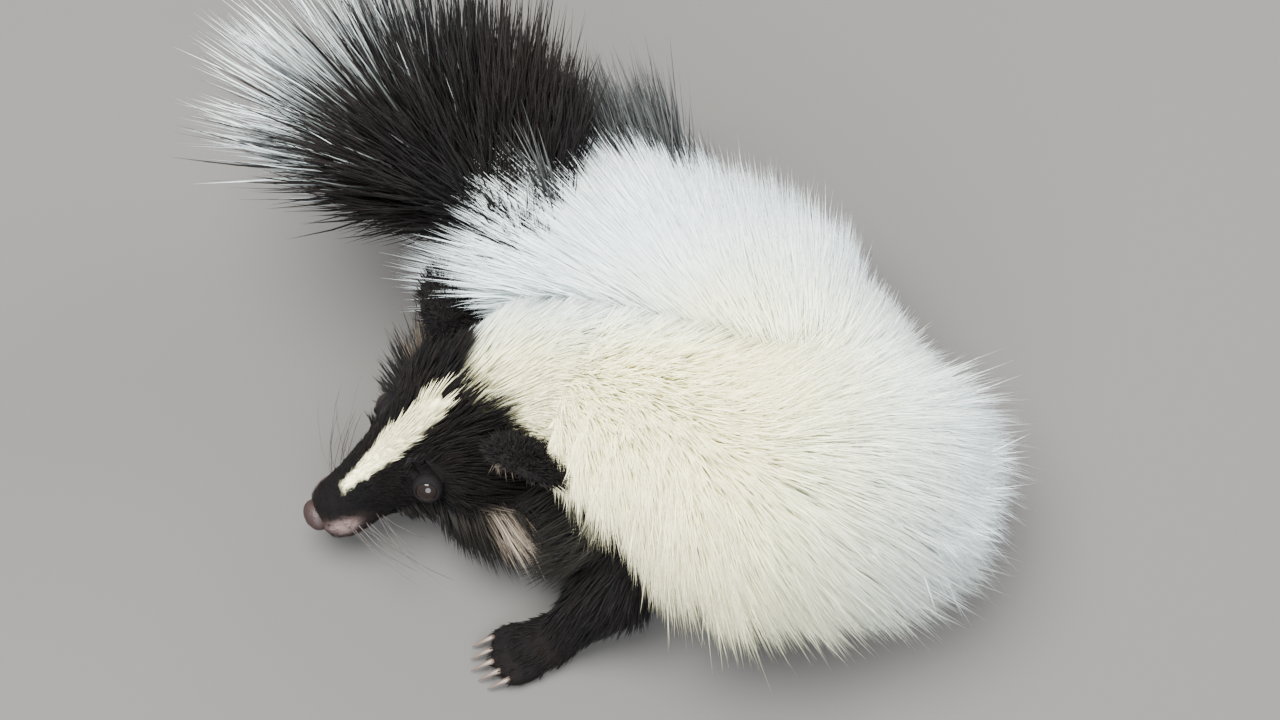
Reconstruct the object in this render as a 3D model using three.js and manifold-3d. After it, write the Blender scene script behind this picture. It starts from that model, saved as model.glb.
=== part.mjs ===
// A young striped skunk, curled into a tight C on the ground, head low and tail fanned, at life size.
// Millimetres, +Z up, floor at Z = 0. +X runs from the head's end to the bend of the back, and +Y to the tail's side.
// The flesh is a field of blended ellipsoids and tapering rods, and each sub-part is wrapped on that field.
import * as THREE from "three";
import { mergeVertices } from "three/addons/utils/BufferGeometryUtils.js";
import Module from "manifold-3d";

const wasm = await Module();
wasm.setup();

const GAP = 0.3; // between sub-parts that touch
const vec = (x = 0, y = 0, z = 0) => new THREE.Vector3(x, y, z);
const { smoothstep, lerp, clamp, degToRad } = THREE.MathUtils;

// The head's own frame: X forward to the nose, Y to its left, Z up, origin at the tip of the nose.
const NOSE_TIP = [-80, 5.2, 13];
const HEAD_TURN = 26.6; // degrees from -X towards -Y
const HEAD_NOD = 17; // degrees nose down
const HEAD_LEAN = 5; // degrees, left ear up
const HEAD_LENGTH = 68;
const EYE = { at: [-30.5, 12.4, 6.6], radius: 3.9 };
const EAR = { at: [-54, 22, 12.5], across: 8.6, tall: 9, thick: 4.4, wall: 1.6 };
const NOSE = { at: [-1.2, 0, 0.6], radii: [3, 4.4, 3.4] };
const LIP = [[4, -4.4], [-6, -5.2], [-15, -6.4], [-22, -7.2], [-26, -8.6], [-31, -14], [-36, -34]];

// The trunk's axis from behind the skull to the root of the tail: flesh radius and depth of coat at each place.
const TRUNK = [
  { at: [-27, 32, 33], flesh: 16, coat: 4 },
  { at: [-14, 29, 36], flesh: 17.5, coat: 7 },
  { at: [5, 18, 37], flesh: 21, coat: 12 },
  { at: [25, 8, 36], flesh: 23, coat: 18 },
  { at: [44, 13, 31], flesh: 24, coat: 20 },
  { at: [32, 37, 30], flesh: 22, coat: 18 },
  { at: [6, 56, 29], flesh: 20, coat: 18 },
  { at: [-16, 62, 33], flesh: 11, coat: 18 },
];
const BELLY_COAT = 8;
const CORE = 0.45; // how far out of the coat is dense enough to read as one mass
const BODY_LOCK = { spacing: 12, width: 13, thick: 1.8, sunk: 4, lay: 0.55, droop: 0.18, curl: 0.22 };
const BEND = 4; // the place in TRUNK where the near side of the C becomes the far side
const NECK_END = 1.5; // the place in TRUNK where the neck meets the torso

// The tail's axis, its flesh, and the length of its hair above and below.
const TAIL = [
  { at: [-20, 63, 36], flesh: 8, above: 32, below: 14 },
  { at: [-41, 77, 46], flesh: 6.5, above: 44, below: 17 },
  { at: [-60, 89, 50], flesh: 5, above: 36, below: 16 },
  { at: [-78, 97, 48], flesh: 3, above: 21, below: 14 },
];
const TAIL_LOCK = { rows: 7, around: 6, width: 10, thick: 1.8, sunk: 4, lay: 0.75, curl: 0.2 };

// Each leg from the body down to the wrist or heel as [x, y, z, radius], then its paw as [x, y, heading].
const LEGS = {
  foreleg_left: { bones: [[0, 2, 26, 11], [-6, -14, 17, 8], [-17, -21, 8, 5.4]], paw: [-25, -24, 200] },
  foreleg_right: { bones: [[-8, 34, 24, 10], [-16, 44, 16, 7.5], [-27, 44, 8, 5.4]], paw: [-36, 42.5, 192] },
  hindleg_left: { bones: [[12, 62, 24, 13], [6, 76, 15, 9], [8, 83, 8, 5.8]], paw: [17, 83, -12] },
  hindleg_right: { bones: [[4, 44, 20, 12], [-12, 46, 13, 7.5], [-16, 52, 8, 5.6]], paw: [-17, 60, 105] },
};
const LEG_COAT = 2.5;
const PAW = { length: 22, width: 15, height: 8.5, toe: 3.3, claw: 6 };

// Fields: each gives the distance from a point to its surface, negative inside.
function ellipsoid(centre, radii) {
  const c = vec(...centre);
  const r = vec(...radii);
  return (p) => {
    const q = p.clone().sub(c).divide(r);
    const near = q.length();
    const slope = q.divide(r).length();
    return slope < 1e-9 ? -Math.min(...radii) : (near * (near - 1)) / slope;
  };
}
function rod(start, end) {
  const a = vec(...start.slice(0, 3));
  const along = vec(...end.slice(0, 3)).sub(a);
  const squared = along.lengthSq();
  return (p) => {
    const t = clamp(p.clone().sub(a).dot(along) / squared, 0, 1);
    return p.distanceTo(a.clone().addScaledVector(along, t)) - lerp(start[3], end[3], t);
  };
}
function blend(a, b, soft) {
  const h = Math.max(soft - Math.abs(a - b), 0) / soft;
  return Math.min(a, b) - (h * h * soft) / 4;
}
const blended = (fields, soft) => (p) => fields.reduce((d, f) => blend(d, f(p), soft), 1e3);
const bothSides = (make) => [make(1), make(-1)];

// The head's frame in the animal's own frame.
const headFrame = new THREE.Matrix4()
  .makeTranslation(...NOSE_TIP)
  .multiply(new THREE.Matrix4().makeRotationZ(degToRad(180 + HEAD_TURN)))
  .multiply(new THREE.Matrix4().makeRotationY(degToRad(HEAD_NOD)))
  .multiply(new THREE.Matrix4().makeRotationX(degToRad(HEAD_LEAN)));
const intoHead = headFrame.clone().invert();
const fromHead = (x, y, z) => vec(x, y, z).applyMatrix4(headFrame);
const headWay = (x, y, z) => vec(x, y, z).transformDirection(headFrame);

// The head's flesh: skull, muzzle, jaw, bridge of the nose, cheeks, brows and whisker pads.
const headFlesh = blended(
  [
    ellipsoid([-48, 0, 5], [19, 17.5, 14.5]),
    rod([-42, 0, 2, 14.5], [-8, 0, -0.8, 6.2]),
    rod([-40, 0, -7, 9], [-9, 0, -4.6, 3.6]),
    rod([-32, 0, 9, 6.5], [-7, 0, 1.6, 3.8]),
    ...bothSides((side) => ellipsoid([-43, side * 12, -4], [13, 9, 10])),
    ...bothSides((side) => ellipsoid([-32, side * 10, 9.5], [6.5, 3.6, 2.8])),
    ...bothSides((side) => ellipsoid([-8, side * 3.8, -2], [6, 3.8, 3.8])),
  ],
  4,
);

// Finer stations on a smooth curve through the given ones.
function smoothed(stations, steps) {
  const curve = new THREE.CatmullRomCurve3(stations.map((station) => vec(...station.at)));
  const last = stations.length - 1;
  return Array.from({ length: last * steps + 1 }, (_, i) => {
    const before = Math.min(Math.floor(i / steps), last - 1);
    const made = { place: i / steps, point: curve.getPoint(i / (last * steps)) };
    for (const name of Object.keys(stations[0]).slice(1))
      made[name] = lerp(stations[before][name], stations[before + 1][name], i / steps - before);
    return made;
  });
}

// The nearest place on a line of stations: how far it is, where along the line, its point and its sizes.
function nearest(stations, p) {
  let best = { distance: 1e9 };
  for (let i = 0; i + 1 < stations.length; i++) {
    const a = stations[i];
    const b = stations[i + 1];
    const along = b.point.clone().sub(a.point);
    const t = clamp(p.clone().sub(a.point).dot(along) / along.lengthSq(), 0, 1);
    const point = a.point.clone().addScaledVector(along, t);
    const distance = p.distanceTo(point) - lerp(a.flesh, b.flesh, t);
    if (distance < best.distance) best = { distance, a, b, t, point };
  }
  best.size = (name) => lerp(best.a[name], best.b[name], best.t);
  best.lift = (p.z - best.point.z) / Math.max(p.distanceTo(best.point), 1);
  return best;
}

const STEPS = 3;
const trunk = smoothed(TRUNK, STEPS);
const nearSide = trunk.slice(0, BEND * STEPS + 1);
const farSide = trunk.slice(BEND * STEPS);
const tail = smoothed(TAIL, STEPS);
const headDistance = (p) => headFlesh(p.clone().applyMatrix4(intoHead));
const neckDistance = (p) => blend(headDistance(p), nearest(trunk.slice(0, NECK_END * STEPS + 2), p).distance, 8);

// Depth of the coat over the flesh, out to the tips.
function torsoCoat(p, stations) {
  const near = nearest(stations, p);
  const full = near.size("coat");
  return lerp(Math.min(BELLY_COAT, full), full, smoothstep(near.lift, -0.75, 0.05));
}
// The dense part of the coat: up to CORE of it, but all of it on the belly, where it is pressed against the ground.
function torsoCore(p, stations) {
  const lift = nearest(stations, p).lift;
  return torsoCoat(p, stations) * lerp(1, CORE, smoothstep(lift, -0.85, -0.4));
}
const behindNose = (p) => -p.clone().applyMatrix4(intoHead).x;
const headCoat = (p) => lerp(0.5, 3.8, smoothstep(behindNose(p), 6, 52));
const neckCoat = (p) => lerp(headCoat(p), torsoCoat(p, nearSide), smoothstep(behindNose(p), 58, 82));
function tailCoat(p) {
  const near = nearest(tail, p);
  return lerp(near.size("below"), near.size("above"), smoothstep(near.lift, -0.5, 0.7));
}

// A closed surface drawn on a field: each ray from the centre stops where the field is zero.
function wrap(distance, centre, reach, detail, stretch = vec(1, 1, 1), turn = new THREE.Quaternion()) {
  const ball = new THREE.IcosahedronGeometry(1, detail);
  ball.deleteAttribute("normal");
  ball.deleteAttribute("uv");
  const made = mergeVertices(ball, 1e-4);
  const at = made.getAttribute("position");
  for (let i = 0; i < at.count; i++) {
    const way = vec().fromBufferAttribute(at, i).multiply(stretch).normalize().applyQuaternion(turn);
    let out = reach;
    for (let step = 0; step < 150; step++) {
      const d = distance(centre.clone().addScaledVector(way, out));
      if (d < 0.02) break;
      out = Math.max(out - d * 0.7, 0.5);
    }
    at.setXYZ(i, ...centre.clone().addScaledVector(way, out).toArray());
  }
  return made;
}

// Solids for joining and cutting.
function solid(geometry, matrix = new THREE.Matrix4()) {
  const bare = geometry.index ? geometry.toNonIndexed() : geometry.clone();
  bare.deleteAttribute("normal");
  bare.deleteAttribute("uv");
  const merged = mergeVertices(bare.applyMatrix4(matrix), 1e-4);
  const mesh = new wasm.Mesh({
    numProp: 3,
    vertProperties: new Float32Array(merged.getAttribute("position").array),
    triVerts: new Uint32Array(merged.index.array),
  });
  return new wasm.Manifold(mesh);
}
const joined = (solids) => solids.reduce((a, b) => a.add(b));
const bySize = (made) => made.decompose().sort((a, b) => b.volume() - a.volume());
const largest = (made) => bySize(made)[0];

// Everything that lies behind a flat face through a point.
function behind(point, facing, shift = 0, size = 500) {
  const turn = new THREE.Quaternion().setFromUnitVectors(vec(0, 0, 1), facing);
  const centre = point.clone().addScaledVector(facing, shift - size / 2);
  const block = new THREE.BoxGeometry(size, size, size);
  return solid(block, new THREE.Matrix4().compose(centre, turn, vec(1, 1, 1)));
}
const ground = behind(vec(), vec(0, 0, 1));

// The slope of a field: the way straight out of its surface.
function slope(distance, p) {
  const step = 0.2;
  const rise = (x, y, z) => distance(p.clone().add(vec(x, y, z))) - distance(p.clone().sub(vec(x, y, z)));
  return vec(rise(step, 0, 0), rise(0, step, 0), rise(0, 0, step)).normalize();
}

// A flat lock of hair: a four-sided spike, widest a third of the way along, that bends by curl on its way to the tip.
function lock(base, way, length, curl, out, size) {
  const side = way.clone().cross(out).normalize();
  const flat = side.clone().cross(way).normalize();
  const shape = new THREE.ConeGeometry(1, 1, 4, 3);
  const at = shape.getAttribute("position");
  for (let i = 0; i < at.count; i++) {
    const s = at.getY(i) + 0.5;
    const ring = Math.max(1 - s, 1e-6);
    const across = (at.getX(i) / ring) * (size.width / 2) * Math.sin(Math.PI * (0.2 + 0.8 * s));
    const through = (at.getZ(i) / ring) * (size.thick / 2) * (1 - s ** 3);
    const p = base.clone().addScaledVector(way, s * length - size.sunk).addScaledVector(curl, s * s * length);
    if (s < 0.999) p.addScaledVector(side, across).addScaledVector(flat, through);
    at.setXYZ(i, ...p.toArray());
  }
  return solid(shape);
}
let seed = 7;
function chance(low, high) {
  seed = (seed * 16807) % 2147483647;
  return low + ((high - low) * seed) / 2147483647;
}

const root = new THREE.Group();
const colours = {
  black: { color: 0x17140f, roughness: 0.85 },
  white: { color: 0xf1ece0, roughness: 0.85 },
  skin: { color: 0x4a3a37, roughness: 0.6 },
  eye: { color: 0x0a0807, roughness: 0.1 },
};
function addNode(name, made, colour) {
  const { vertProperties, triVerts } = made.getMesh();
  const geometry = new THREE.BufferGeometry();
  geometry.setAttribute("position", new THREE.BufferAttribute(vertProperties, 3));
  geometry.setIndex(new THREE.BufferAttribute(triVerts, 1));
  const mesh = new THREE.Mesh(geometry, new THREE.MeshStandardMaterial({ ...colours[colour], metalness: 0 }));
  mesh.name = name;
  root.add(mesh);
}

// Where the body is parted: behind the skull, at the end of the neck and at the root of the tail.
const skullBack = fromHead(6 - HEAD_LENGTH, 0, 2);
const headAxis = headWay(1, 0, 0);
const neckBack = trunk[Math.round(NECK_END * STEPS)].point;
const neckAxis = vec(-0.93, 0.36, -0.05).normalize();
const tailRoot = vec(-30, 71, 40);
const tailAxis = vec(-0.75, 0.6, 0.28).normalize();

// Head: wrapped whole, with a rim round each eye, then parted from the jaw along the mouth.
const headCentre = fromHead(-40, 0, 1);
const headTurn = new THREE.Quaternion().setFromRotationMatrix(headFrame);
const headStretch = vec(1.9, 1, 1);
function headSkin(more) {
  const skin = wrap((p) => neckDistance(p) - neckCoat(p) - more, headCentre, 62, 9, headStretch, headTurn);
  return solid(skin).subtract(behind(skullBack, headAxis, GAP / 2 - more));
}
const eyeCentre = (side) => fromHead(EYE.at[0], side * EYE.at[1], EYE.at[2]);
const eyeWay = (side) => headWay(0.42, side * 0.86, 0.3);
function lids(side) {
  const rim = new THREE.TorusGeometry(EYE.radius * 0.98, 1.15, 6, 18);
  const turn = new THREE.Quaternion().setFromUnitVectors(vec(0, 0, 1), eyeWay(side));
  const at = eyeCentre(side).addScaledVector(eyeWay(side), 1.5);
  return solid(rim, new THREE.Matrix4().compose(at, turn, vec(1, 0.85, 1)));
}
function eyeBall(side, more) {
  const ball = new THREE.SphereGeometry(EYE.radius + more, 12, 8);
  return solid(ball, new THREE.Matrix4().makeTranslation(eyeCentre(side)));
}
function mouthCut() {
  const slabs = LIP.slice(1).map(([x, z], i) => {
    const [fromX, fromZ] = LIP[i];
    const slab = new THREE.BoxGeometry(Math.hypot(x - fromX, z - fromZ) + GAP, 80, GAP);
    slab.rotateY(-Math.atan2(z - fromZ, x - fromX)).translate((x + fromX) / 2, 0, (z + fromZ) / 2);
    return solid(slab, headFrame);
  });
  return joined(slabs);
}
function nosePad(more) {
  const pad = new THREE.SphereGeometry(1, 12, 8).scale(...NOSE.radii.map((r) => r + more));
  return solid(pad, headFrame.clone().multiply(new THREE.Matrix4().makeTranslation(...NOSE.at)));
}
function nostril(side) {
  const hollow = new THREE.SphereGeometry(1, 8, 6).scale(1.9, 0.85, 0.85);
  return solid(hollow, headFrame.clone().multiply(new THREE.Matrix4().makeTranslation(1.3, side * 1.9, 0.5)));
}

// Ears: a low round cup that stands off the side of the skull and opens forward and outward.
function earFrame(side) {
  const tall = vec(-0.3, side * 0.86, 0.42).normalize();
  const open = vec(0.8, side * 0.3, -0.42);
  open.addScaledVector(tall, -open.dot(tall)).normalize();
  const across = tall.clone().cross(open);
  const place = new THREE.Matrix4().makeBasis(across, tall, open);
  return headFrame.clone().multiply(place.setPosition(EAR.at[0], side * EAR.at[1], EAR.at[2]));
}
function earShell(more) {
  return new THREE.SphereGeometry(1, 12, 8).scale(EAR.across + more, EAR.tall + more, EAR.thick + more);
}
function ear(side) {
  const inside = earShell(-EAR.wall).translate(0, 0, EAR.wall * 2.2);
  return solid(earShell(0), earFrame(side)).subtract(solid(inside, earFrame(side)));
}

const headWhole = joined([headSkin(0), ...bothSides(lids)])
  .subtract(joined(bothSides((side) => eyeBall(side, GAP))))
  .subtract(nosePad(GAP))
  .subtract(mouthCut());
const headRoom = joined([headSkin(GAP), nosePad(GAP)]);
const [skull, jaw] = bySize(headWhole);
addNode("head", skull, "black");
addNode("jaw", jaw, "black");
addNode("nose", largest(nosePad(0).subtract(joined(bothSides(nostril)))), "skin");
const [eyeLeft, eyeRight] = bothSides((side) => eyeBall(side, 0));
addNode("eye_left", eyeLeft, "eye");
addNode("eye_right", eyeRight, "eye");
const [earLeft, earRight] = bothSides((side) => largest(ear(side).subtract(headRoom)));
addNode("ear_left", earLeft, "black");
addNode("ear_right", earRight, "black");
const earRoom = joined(bothSides((side) => solid(earShell(GAP), earFrame(side))));

// Neck: from the back of the skull to the shoulders.
function neckPart(more) {
  const skin = wrap((p) => neckDistance(p) - neckCoat(p) - more, trunk[3].point, 55, 5);
  return solid(skin)
    .subtract(behind(skullBack, headAxis.clone().negate(), GAP / 2 - more))
    .subtract(behind(neckBack, neckAxis, GAP / 2 - more));
}
const neck = largest(neckPart(0).subtract(earRoom));
addNode("neck", neck, "white");

// Paws: flat-footed, with five clawed toes.
function pawPart(name, more) {
  const [x, y, heading] = LEGS[name].paw;
  const frame = new THREE.Matrix4().makeRotationZ(degToRad(heading)).setPosition(x, y, 0);
  const place = (shape, px, py, pz) =>
    solid(shape, frame.clone().multiply(new THREE.Matrix4().makeTranslation(px, py, pz)));
  const palm = new THREE.SphereGeometry(1, 8, 6);
  palm.scale(PAW.length * 0.42 + more, PAW.width * 0.44 + more, PAW.height * 0.62 + more);
  const parts = [place(palm, -PAW.length * 0.1, 0, PAW.height * 0.4)];
  for (let toe = -2; toe <= 2; toe++) {
    const aside = (toe * PAW.width) / 5.2;
    const reach = PAW.length * (0.33 - 0.035 * Math.abs(toe) ** 1.5);
    const knuckle = new THREE.SphereGeometry(1, 6, 4);
    knuckle.scale(PAW.toe * 1.6 + more, PAW.toe * 0.62 + more, PAW.toe * 0.8 + more);
    parts.push(place(knuckle, reach, aside, PAW.toe * 0.62));
    const claw = new THREE.ConeGeometry(0.95 + more, PAW.claw, 3).rotateZ(-Math.PI / 2 - 0.35);
    parts.push(place(claw, reach + PAW.toe * 1.35 + PAW.claw * 0.3, aside, PAW.toe * 0.62));
  }
  return joined(parts).subtract(ground);
}
const pawRoom = joined(Object.keys(LEGS).map((name) => pawPart(name, GAP)));

// Torso: the near and far sides of the C, with the shoulders and haunches, each a dense core that carries the locks.
function trunkSide(stations, legs, centre) {
  const upper = blended(legs.map((name) => rod(LEGS[name].bones[0], LEGS[name].bones[1])), 5);
  const flesh = (p) => blend(nearest(stations, p).distance, upper(p), 6);
  const core = (p) => flesh(p) - torsoCore(p, stations);
  const skin = (more, detail) => wrap((p) => core(p) - more, centre, 110, detail);
  return { stations, flesh, core, skin };
}
const near = trunkSide(nearSide, ["foreleg_left", "foreleg_right"], vec(20, 14, 34));
const far = trunkSide(farSide, ["hindleg_left", "hindleg_right"], vec(24, 42, 30));
const frontOf = (more) => behind(neckBack, neckAxis.clone().negate(), GAP / 2 - more);
const torsoMass = (more) => solid(near.skin(more, 6)).subtract(frontOf(more)).add(solid(far.skin(more, 6)));
const tailSide = behind(tailRoot, tailAxis.clone().negate(), GAP / 2);

// Roots are spread evenly over a core; each lock stands out of it, leans to the tail's end and droops.
function bodyLocks(half, other, taken) {
  const roots = half.skin(0, 9).getAttribute("position");
  const made = [];
  for (let i = 0; i < roots.count; i++) {
    const base = vec().fromBufferAttribute(roots, i);
    const out = slope(half.flesh, base);
    const ahead = base.clone().sub(neckBack).dot(neckAxis) > -4 && half === near;
    const hidden = other.core(base) < -1 || out.z < -0.45 || base.z < 7;
    const crowded = taken.some((p) => p.distanceTo(base) < BODY_LOCK.spacing);
    if (ahead || hidden || crowded) continue;
    taken.push(base);
    const place = nearest(half.stations, base);
    const along = place.b.point.clone().sub(place.a.point).normalize();
    along.addScaledVector(out, -along.dot(out));
    const down = vec(0, 0, -BODY_LOCK.droop);
    const way = out.clone().addScaledVector(along, BODY_LOCK.lay * chance(0.7, 1.3)).add(down).normalize();
    const length = (torsoCoat(base, half.stations) * (1 - CORE) * chance(1, 1.25)) / way.dot(out) + BODY_LOCK.sunk;
    const path = [0, 0.3, 0.6, 1].map((share) => base.clone().addScaledVector(way, length * share));
    if (!path.every(clearOfLegs)) continue;
    made.push(lock(base, way, length, along.multiplyScalar(BODY_LOCK.curl).add(down), out, BODY_LOCK));
  }
  return made;
}
const lowerLegs = Object.values(LEGS).map((leg) => rod(leg.bones[1], leg.bones[2]));
const clearOfLegs = (p) => blended(lowerLegs, 3)(p) > LEG_COAT + BODY_LOCK.width / 4;
const taken = [];
const coatLocks = joined([...bodyLocks(near, far, taken), ...bodyLocks(far, near, taken)]);
const frontRoom = joined([headRoom, earRoom, neckPart(GAP), neck, pawRoom]);
const torso = largest(torsoMass(0).add(coatLocks).subtract(frontRoom).subtract(tailSide).subtract(ground));
addNode("torso", torso, "white");

// Tail: a core of flesh and dense hair, and rows of long locks that fan out of it, upright above and shorter below.
const tailCore = (p) => nearest(tail, p).distance - tailCoat(p) * CORE;
const tailMiddle = vec(-60, 88, 56);
function tailLocks() {
  const made = [];
  for (let row = 0; row < TAIL_LOCK.rows; row++)
    for (let turn = 0; turn < TAIL_LOCK.around; turn++) {
      const share = (row + 0.5) / TAIL_LOCK.rows;
      const angle = ((turn + (row % 2) / 2 + chance(-0.15, 0.15)) / TAIL_LOCK.around) * 2 * Math.PI;
      const index = Math.min(Math.round(share * (tail.length - 1)), tail.length - 2);
      const station = tail[index];
      const along = tail[index + 1].point.clone().sub(station.point).normalize();
      const up = vec(0, 0, 1).addScaledVector(along, -along.z).normalize();
      const aside = along.clone().cross(up);
      const out = up.multiplyScalar(Math.cos(angle)).addScaledVector(aside, Math.sin(angle));
      const base = station.point.clone();
      while (tailCore(base) < 0) base.addScaledVector(out, 1);
      const lay = lerp(TAIL_LOCK.lay, 1.6, share ** 2) * chance(0.8, 1.2);
      const way = out.clone().addScaledVector(along, lay).normalize();
      const length = (tailCoat(base) * (1 - CORE) * chance(1, 1.2)) / way.dot(out) + TAIL_LOCK.sunk;
      made.push(lock(base, way, Math.min(length, 52), along.clone().multiplyScalar(TAIL_LOCK.curl), out, TAIL_LOCK));
    }
  return made;
}
const tailWhole = solid(wrap(tailCore, tailMiddle, 90, 5)).add(joined(tailLocks()));
const rumpSide = behind(tailRoot, tailAxis, GAP / 2);
const tailRoom = joined([frontRoom, rumpSide, ground]);
addNode("tail", largest(tailWhole.subtract(tailRoom)), "black");

// Legs: each is what shows of it below the coat of the trunk.
function legPart(name, more) {
  const { bones } = LEGS[name];
  const distance = blended([rod(bones[0], bones[1]), rod(bones[1], bones[2])], 3);
  return solid(wrap((p) => distance(p) - LEG_COAT - more, vec(...bones[1].slice(0, 3)), 45, 2)).subtract(ground);
}
let legRoom = joined([frontRoom, torsoMass(GAP), torso]);
for (const name of Object.keys(LEGS)) {
  addNode(name, largest(legPart(name, 0).subtract(legRoom)), "black");
  legRoom = legRoom.add(legPart(name, GAP));
  addNode(name.replace("leg", "paw"), largest(pawPart(name, 0)), "black");
}

// The origin goes to the middle of the underside of the whole.
const size = new THREE.Box3().setFromObject(root);
const middle = size.getCenter(vec());
root.children.forEach((mesh) => mesh.geometry.translate(-middle.x, -middle.y, -size.min.z));

export default root;
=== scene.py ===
# %% [markdown]
# # A young striped skunk, curled on the ground
# A museum preparator first makes a smooth body of flesh, then sets eyes, nose, ears and claws, and lays the
# coat last. This script does the same. The animal could be one sculpted mesh with fur painted on it, but
# its coat is deep and stands off the body, so it is built as real geometry. All sizes are in millimetres in
# the animal's own frame, and one function turns them into metres where the frame wants them.

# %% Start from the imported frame
import bpy
import bmesh
import math
import numpy as np
from mathutils import Matrix, Vector, kdtree


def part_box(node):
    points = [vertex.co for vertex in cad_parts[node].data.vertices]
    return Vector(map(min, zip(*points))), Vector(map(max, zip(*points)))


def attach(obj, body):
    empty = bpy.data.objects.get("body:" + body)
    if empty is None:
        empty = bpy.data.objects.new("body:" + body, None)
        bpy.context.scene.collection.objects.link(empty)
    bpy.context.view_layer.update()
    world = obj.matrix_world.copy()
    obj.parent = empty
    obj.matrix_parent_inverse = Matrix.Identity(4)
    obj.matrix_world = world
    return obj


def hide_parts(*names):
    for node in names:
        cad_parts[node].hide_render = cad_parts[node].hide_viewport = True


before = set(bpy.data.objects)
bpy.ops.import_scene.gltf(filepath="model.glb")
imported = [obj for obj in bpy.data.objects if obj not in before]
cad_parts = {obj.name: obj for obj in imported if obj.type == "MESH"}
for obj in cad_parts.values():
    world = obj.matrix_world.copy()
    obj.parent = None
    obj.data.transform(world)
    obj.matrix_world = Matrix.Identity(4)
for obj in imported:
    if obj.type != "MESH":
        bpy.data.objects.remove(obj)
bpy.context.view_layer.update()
rng = np.random.default_rng(11)
print("solids:", len(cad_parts))

# %% [markdown]
# ## Small mathematics
# Flesh has no flat faces and no sharp joins. It could be pulled out of a box by hand, but a distance field
# is easier to change: every point in space has a number that is zero on the skin and negative inside it.
# Rounded rods and ellipsoids blend where they meet, as muscles do, so no seam has to be modelled. Numpy
# works out whole clouds of points at once.


# %% Fields
def row(*values):
    return np.array(values, float)


def ellipsoid(p, centre, radii):
    q = (p - row(*centre)) / row(*radii)
    near = np.linalg.norm(q, axis=1)
    slope = np.linalg.norm(q / row(*radii), axis=1)
    return near * (near - 1) / np.maximum(slope, 1e-9)


def rod(p, start, end):
    a = row(*start[:3])
    along = row(*end[:3]) - a
    t = np.clip((p - a) @ along / (along @ along), 0, 1)
    return np.linalg.norm(p - a - t[:, None] * along, axis=1) - (start[3] + (end[3] - start[3]) * t)


def blend(a, b, soft):
    h = np.maximum(soft - np.abs(a - b), 0) / soft
    return np.minimum(a, b) - h * h * soft / 4


def blended(fields, soft):
    made = fields[0]
    for field in fields[1:]:
        made = blend(made, field, soft)
    return made


def smooth(x, low, high):
    t = np.clip((x - low) / (high - low), 0, 1)
    return t * t * (3 - 2 * t)


def mix(a, b, t):
    return a + (b - a) * t


def unit(v):
    return v / np.maximum(np.linalg.norm(v, axis=-1, keepdims=True), 1e-9)


# %% [markdown]
# ## The animal's driving sizes
# A curled kit is a ring of trunk with the head laid beside its own rump. The head has its own frame, with
# the nose tip at the origin, X forward and Y to the animal's left. The trunk is a line of stations from
# behind the skull, round the bend of the back, to the root of the tail. Each carries the radius of the
# flesh and the depth of the coat. The solids were made from the same named sizes, so the dressed animal
# lies where they are.

# %% Sizes
NOSE_TIP = row(-80, 5.2, 13)
HEAD_TURN, HEAD_NOD, HEAD_LEAN = 26.6, 17, 5
EYE_AT, EYE_RADIUS = (-30.5, 12.4, 6.6), 3.9
EAR_AT, EAR_ACROSS, EAR_TALL, EAR_THICK = (-54, 22, 12.5), 8.6, 9, 4.4
LIP = [(4, -4.4), (-6, -5.2), (-15, -6.4), (-22, -7.2), (-26, -8.6)]
TRUNK = [
    ((-27, 32, 33), 16, 4),
    ((-14, 29, 36), 17.5, 7),
    ((5, 18, 37), 21, 12),
    ((25, 8, 36), 23, 18),
    ((44, 13, 31), 24, 20),
    ((32, 37, 30), 22, 18),
    ((6, 56, 29), 20, 18),
    ((-16, 62, 33), 11, 18),
]
BEND, BELLY_COAT = 4, 8
TAIL = [
    ((-20, 63, 36), 8, 32, 14),
    ((-41, 77, 46), 6.5, 44, 17),
    ((-60, 89, 50), 5, 36, 16),
    ((-78, 97, 48), 3, 21, 14),
]
LEGS = {
    "foreleg_left": ([(0, 2, 26, 11), (-6, -14, 17, 8), (-17, -21, 8, 5.4)], (-25, -24, 200)),
    "foreleg_right": ([(-8, 34, 24, 10), (-16, 44, 16, 7.5), (-27, 44, 8, 5.4)], (-36, 42.5, 192)),
    "hindleg_left": ([(12, 62, 24, 13), (6, 76, 15, 9), (8, 83, 8, 5.8)], (17, 83, -12)),
    "hindleg_right": ([(4, 44, 20, 12), (-12, 46, 13, 7.5), (-16, 52, 8, 5.6)], (-17, 60, 105)),
}
PAW_LENGTH, PAW_WIDTH, PAW_HEIGHT, TOE, CLAW = 22, 15, 8.5, 3.3, 6

# %% Forms of the head and the paw, as places with radii
SKULL = (-48, 0, 5), (19, 17.5, 14.5)
CHEEK = (-43, 12, -4), (13, 9, 10)
BROW = (-32, 10, 9.5), (6.5, 3.6, 2.8)
LIP_PAD = (-8, 3.8, -2), (6, 3.8, 3.8)
MUZZLE = (-42, 0, 2, 14.5), (-8, 0, -0.8, 6.2)
JAW = (-40, 0, -7, 9), (-9, 0, -4.6, 3.6)
BRIDGE = (-32, 0, 9, 6.5), (-7, 0, 1.6, 3.8)
PALM = (-PAW_LENGTH * 0.1, 0, PAW_HEIGHT * 0.4), (PAW_LENGTH * 0.42, PAW_WIDTH * 0.44, PAW_HEIGHT * 0.62)
TOE_SIZE, TOE_RISE = (TOE * 1.6, TOE * 0.6, TOE * 0.72), TOE * 0.62
FACE_SOFT, CREASE_SOFT, NECK_SOFT, LIMB_SOFT, KNEE_SOFT, WRIST_SOFT, TOE_SOFT = 4, 3, 8, 5, 3, 2, 0.9
print("trunk stations:", len(TRUNK), "tail stations:", len(TAIL), "legs:", len(LEGS))


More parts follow.
